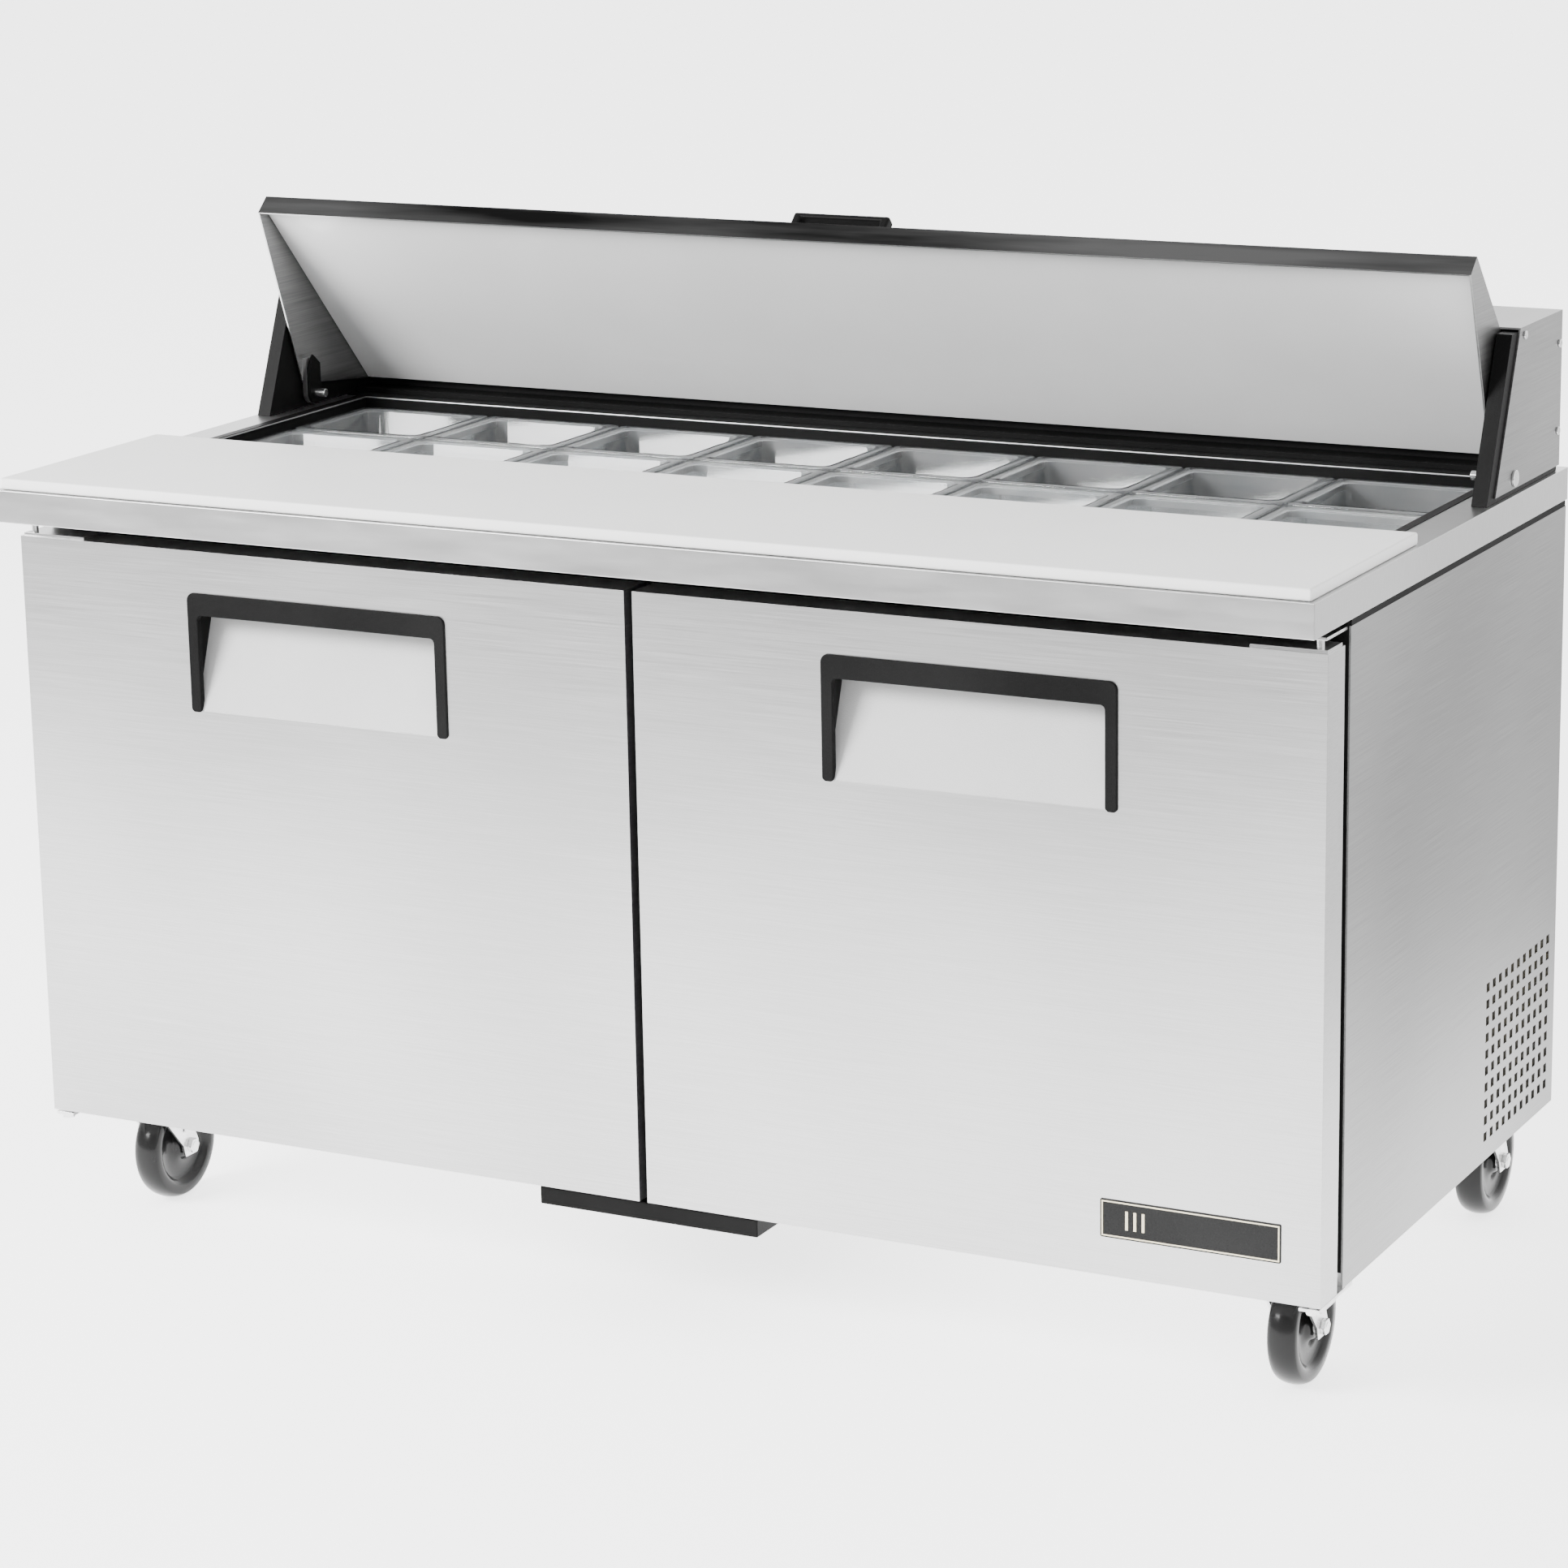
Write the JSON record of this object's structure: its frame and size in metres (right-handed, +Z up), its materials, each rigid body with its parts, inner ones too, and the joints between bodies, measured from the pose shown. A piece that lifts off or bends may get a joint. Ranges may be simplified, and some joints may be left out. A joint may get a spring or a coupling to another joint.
{
  "type": "sandwich prep table",
  "caption": "Two-door refrigerated prep table on castors, with a full-width pan rail under a folding wedge lid and a cutting board along the front.",
  "frame": {"origin": "on the floor, under the middle of the whole table", "axes": "+X to the right of a person standing at the front, -Y towards them, +Z up"},
  "size_m": [1.534, 0.806, 1.1257],
  "materials": {
    "stainless": "brushed, satin",
    "galvanised": "spangled zinc",
    "bright_zinc": "bright zinc plate",
    "black_plastic": "fine texture",
    "grey_plastic": "fine texture",
    "white_plastic": "smooth",
    "board_white": "fine grain",
    "clear_pan": "clear",
    "foam": "cellular",
    "gasket_rubber": "soft",
    "copper": "drawn tube",
    "aluminium_fin": "finned",
    "black_enamel": "gloss enamel",
    "wheel_black": "hard, smooth",
    "coated_wire": "epoxy coated",
    "badge_cream": "printed plate"
  },
  "bodies": {
    "cabinet": {"back_panel": "galvanised", "base_pan": "galvanised", "castor_mounts": "bright_zinc", "compressor": "black_enamel", "condensate_pan": "black_plastic", "condenser_coil": "aluminium_fin", "condenser_shroud": "galvanised", "control_box": "galvanised", "counter_top": "stainless", "door_hinge_brackets": "bright_zinc", "evaporator_coil": "aluminium_fin", "evaporator_housing": "white_plastic", "front_frame": "black_plastic", "hood": "stainless", "hood_fasteners": "bright_zinc", "hood_liner": "black_plastic", "inner_liner": "stainless", "insulation": "foam", "pan_bars": "stainless", "rail_liner": "stainless", "rear_grille": "galvanised", "refrigerant_lines": "copper", "shelf_standards": "stainless", "side_panel_left": "stainless", "side_panel_right": "stainless", "unit_base": "galvanised"},
    "door_left": {"door_skin_left": "stainless", "door_panel_left": "white_plastic", "door_gasket_left": "gasket_rubber", "door_handle_left": "black_plastic"},
    "door_right": {"door_skin_right": "stainless", "door_panel_right": "white_plastic", "door_gasket_right": "gasket_rubber", "door_handle_right": "black_plastic", "badge": "badge_cream"},
    "lid": {"lid_skin": "stainless", "lid_liner": "white_plastic", "lid_handle": "black_plastic"},
    "cutting_board": {"cutting_board": "board_white"},
    "pans_front_left": {"pans_front_left": "clear_pan"},
    "pans_front_right": {"pans_front_right": "clear_pan"},
    "pans_rear_left": {"pans_rear_left": "clear_pan"},
    "pans_rear_right": {"pans_rear_right": "clear_pan"},
    "wire_shelf_1": {"wire_shelf_1": "coated_wire"},
    "wire_shelf_2": {"wire_shelf_2": "coated_wire"},
    "wire_shelf_3": {"wire_shelf_3": "coated_wire"},
    "wire_shelf_4": {"wire_shelf_4": "coated_wire"},
    "castor_front_left": {"castor_fork_front_left": "bright_zinc"},
    "wheel_front_left": {"castor_wheel_front_left": "wheel_black"},
    "brake_left": {"castor_brake_left": "bright_zinc"},
    "castor_front_right": {"castor_fork_front_right": "bright_zinc"},
    "wheel_front_right": {"castor_wheel_front_right": "wheel_black"},
    "brake_right": {"castor_brake_right": "bright_zinc"},
    "castor_rear_left": {"castor_fork_rear_left": "bright_zinc"},
    "wheel_rear_left": {"castor_wheel_rear_left": "wheel_black"},
    "castor_rear_right": {"castor_fork_rear_right": "bright_zinc"},
    "wheel_rear_right": {"castor_wheel_rear_right": "wheel_black"},
    "evaporator_fan": {"evaporator_fan": "black_plastic"},
    "condenser_fan": {"condenser_fan": "black_plastic"},
    "thermostat_knob": {"thermostat_knob": "grey_plastic"}
  },
  "joints": [
    {"name": "door_left_hinge", "type": "hinge", "parent": "cabinet", "child": "door_left", "pos_m": [-0.754, -0.352, 0.46], "axis": [0, 0, -1], "range_deg": [0, 110]},
    {"name": "door_right_hinge", "type": "hinge", "parent": "cabinet", "child": "door_right", "pos_m": [0.754, -0.352, 0.46], "axis": [0, 0, 1], "range_deg": [0, 110]},
    {"name": "lid_hinge", "type": "hinge", "parent": "cabinet", "child": "lid", "pos_m": [0, 0.187, 0.8745], "axis": [-1, 0, 0], "range_deg": [-71, 0]},
    {"name": "cutting_board_lift", "type": "slide", "parent": "cabinet", "child": "cutting_board", "axis": [0, 0, 1], "range_m": [0, 0.1]},
    {"name": "pans_front_left_lift", "type": "slide", "parent": "cabinet", "child": "pans_front_left", "axis": [0, 0, 1], "range_m": [0, 0.15]},
    {"name": "pans_front_right_lift", "type": "slide", "parent": "cabinet", "child": "pans_front_right", "axis": [0, 0, 1], "range_m": [0, 0.15]},
    {"name": "pans_rear_left_lift", "type": "slide", "parent": "cabinet", "child": "pans_rear_left", "axis": [0, 0, 1], "range_m": [0, 0.05]},
    {"name": "pans_rear_right_lift", "type": "slide", "parent": "cabinet", "child": "pans_rear_right", "axis": [0, 0, 1], "range_m": [0, 0.05]},
    {"name": "wire_shelf_1_lift", "type": "slide", "parent": "cabinet", "child": "wire_shelf_1", "axis": [0, 0, 1], "range_m": [0, 0.025]},
    {"name": "wire_shelf_2_lift", "type": "slide", "parent": "cabinet", "child": "wire_shelf_2", "axis": [0, 0, 1], "range_m": [0, 0.025]},
    {"name": "wire_shelf_3_lift", "type": "slide", "parent": "cabinet", "child": "wire_shelf_3", "axis": [0, 0, 1], "range_m": [0, 0.025]},
    {"name": "wire_shelf_4_lift", "type": "slide", "parent": "cabinet", "child": "wire_shelf_4", "axis": [0, 0, 1], "range_m": [0, 0.025]},
    {"name": "castor_front_left_swivel", "type": "hinge", "parent": "cabinet", "child": "castor_front_left", "pos_m": [-0.696, -0.266, 0.14], "axis": [0, 0, 1], "continuous": true},
    {"name": "wheel_front_left_roll", "type": "hinge", "parent": "castor_front_left", "child": "wheel_front_left", "pos_m": [-0.696, -0.231, 0.0635], "axis": [1, 0, 0], "continuous": true},
    {"name": "brake_left_pedal", "type": "hinge", "parent": "castor_front_left", "child": "brake_left", "pos_m": [-0.696, -0.236, 0.092], "axis": [-1, 0, 0], "range_deg": [0, 10]},
    {"name": "castor_front_right_swivel", "type": "hinge", "parent": "cabinet", "child": "castor_front_right", "pos_m": [0.696, -0.266, 0.14], "axis": [0, 0, 1], "continuous": true},
    {"name": "wheel_front_right_roll", "type": "hinge", "parent": "castor_front_right", "child": "wheel_front_right", "pos_m": [0.696, -0.231, 0.0635], "axis": [1, 0, 0], "continuous": true},
    {"name": "brake_right_pedal", "type": "hinge", "parent": "castor_front_right", "child": "brake_right", "pos_m": [0.696, -0.236, 0.092], "axis": [-1, 0, 0], "range_deg": [0, 10]},
    {"name": "castor_rear_left_swivel", "type": "hinge", "parent": "cabinet", "child": "castor_rear_left", "pos_m": [-0.696, 0.3045, 0.14], "axis": [0, 0, 1], "continuous": true},
    {"name": "wheel_rear_left_roll", "type": "hinge", "parent": "castor_rear_left", "child": "wheel_rear_left", "pos_m": [-0.696, 0.3395, 0.0635], "axis": [1, 0, 0], "continuous": true},
    {"name": "castor_rear_right_swivel", "type": "hinge", "parent": "cabinet", "child": "castor_rear_right", "pos_m": [0.696, 0.3045, 0.14], "axis": [0, 0, 1], "continuous": true},
    {"name": "wheel_rear_right_roll", "type": "hinge", "parent": "castor_rear_right", "child": "wheel_rear_right", "pos_m": [0.696, 0.3395, 0.0635], "axis": [1, 0, 0], "continuous": true},
    {"name": "evaporator_fan_spin", "type": "hinge", "parent": "cabinet", "child": "evaporator_fan", "pos_m": [0, 0.216, 0.49], "axis": [0, 1, 0], "continuous": true},
    {"name": "condenser_fan_spin", "type": "hinge", "parent": "cabinet", "child": "condenser_fan", "pos_m": [0.532, 0.227, 0.245], "axis": [1, 0, 0], "continuous": true},
    {"name": "thermostat_knob_turn", "type": "hinge", "parent": "cabinet", "child": "thermostat_knob", "pos_m": [0.15, 0.187, 0.44], "axis": [0, 1, 0], "range_deg": [0, 270]}
  ]
}
